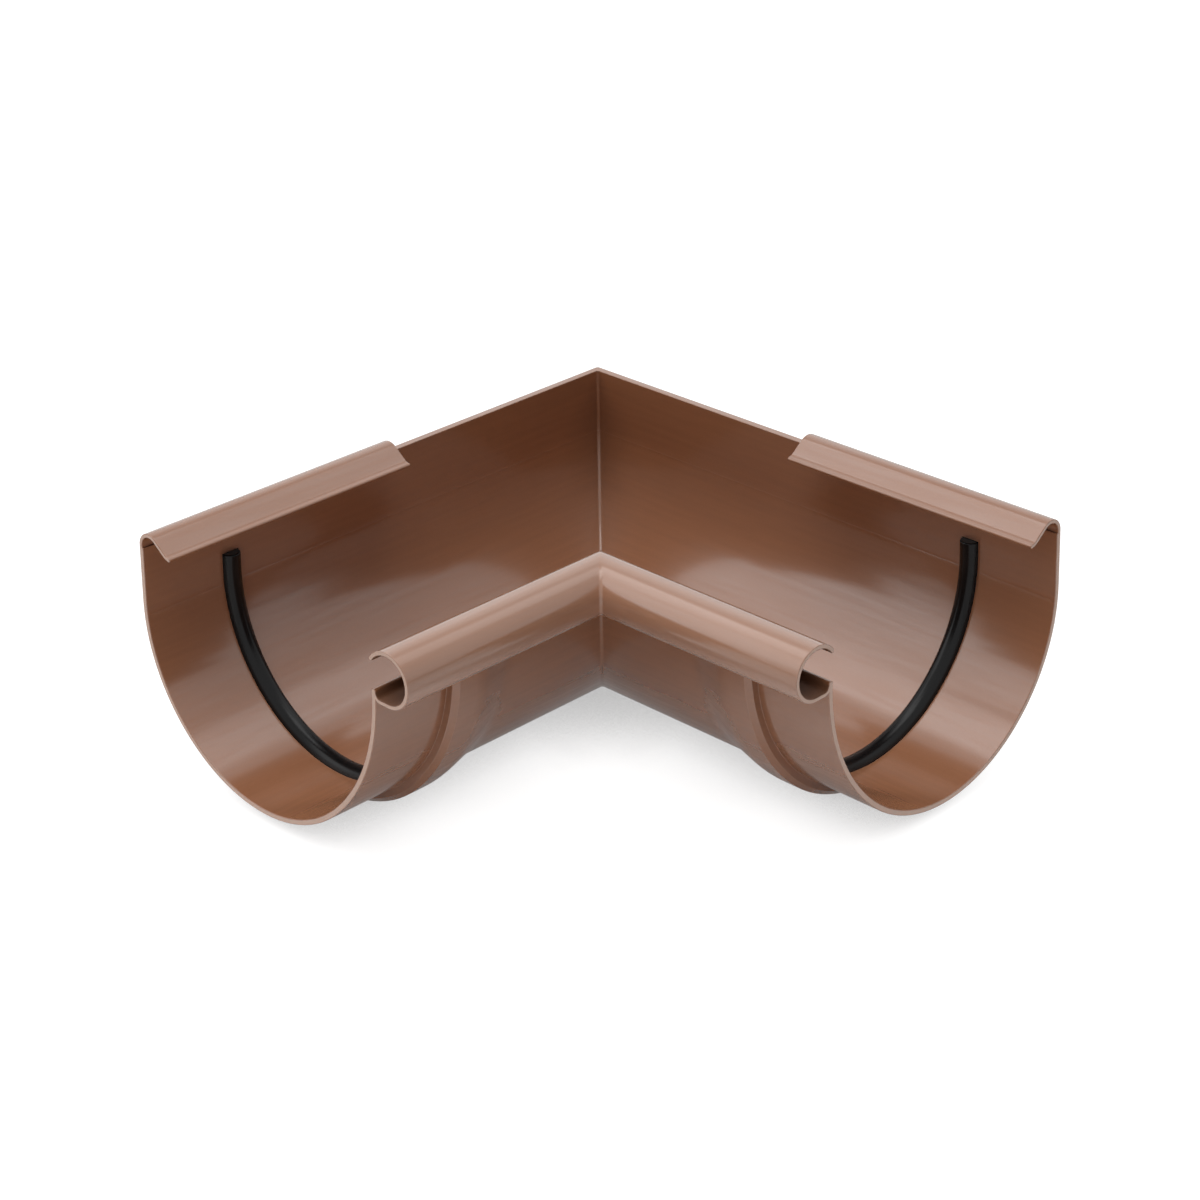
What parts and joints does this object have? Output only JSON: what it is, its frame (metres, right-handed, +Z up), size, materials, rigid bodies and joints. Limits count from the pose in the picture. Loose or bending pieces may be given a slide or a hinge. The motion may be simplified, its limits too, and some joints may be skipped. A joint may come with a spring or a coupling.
{
  "type": "gutter corner",
  "caption": "Inside 90 degree corner for a half-round plastic rain gutter, with a rolled front edge, back clips and a rubber gasket strip in each socket.",
  "frame": {"origin": "centre of the part's box, on the level of the undersides of the gasket ribs", "axes": "+X and +Y out of the two sockets, along the troughs; +Z up; the mitre is the plane x = y"},
  "size_m": [0.2534, 0.2534, 0.1034],
  "materials": {
    "brown_pvc": "glossy moulded PVC, milk-chocolate brown",
    "black_rubber": "satin black moulded rubber"
  },
  "bodies": {
    "root": {"corner_body": "brown_pvc", "gasket_x_arm": "black_rubber", "gasket_y_arm": "black_rubber"}
  },
  "joints": []
}
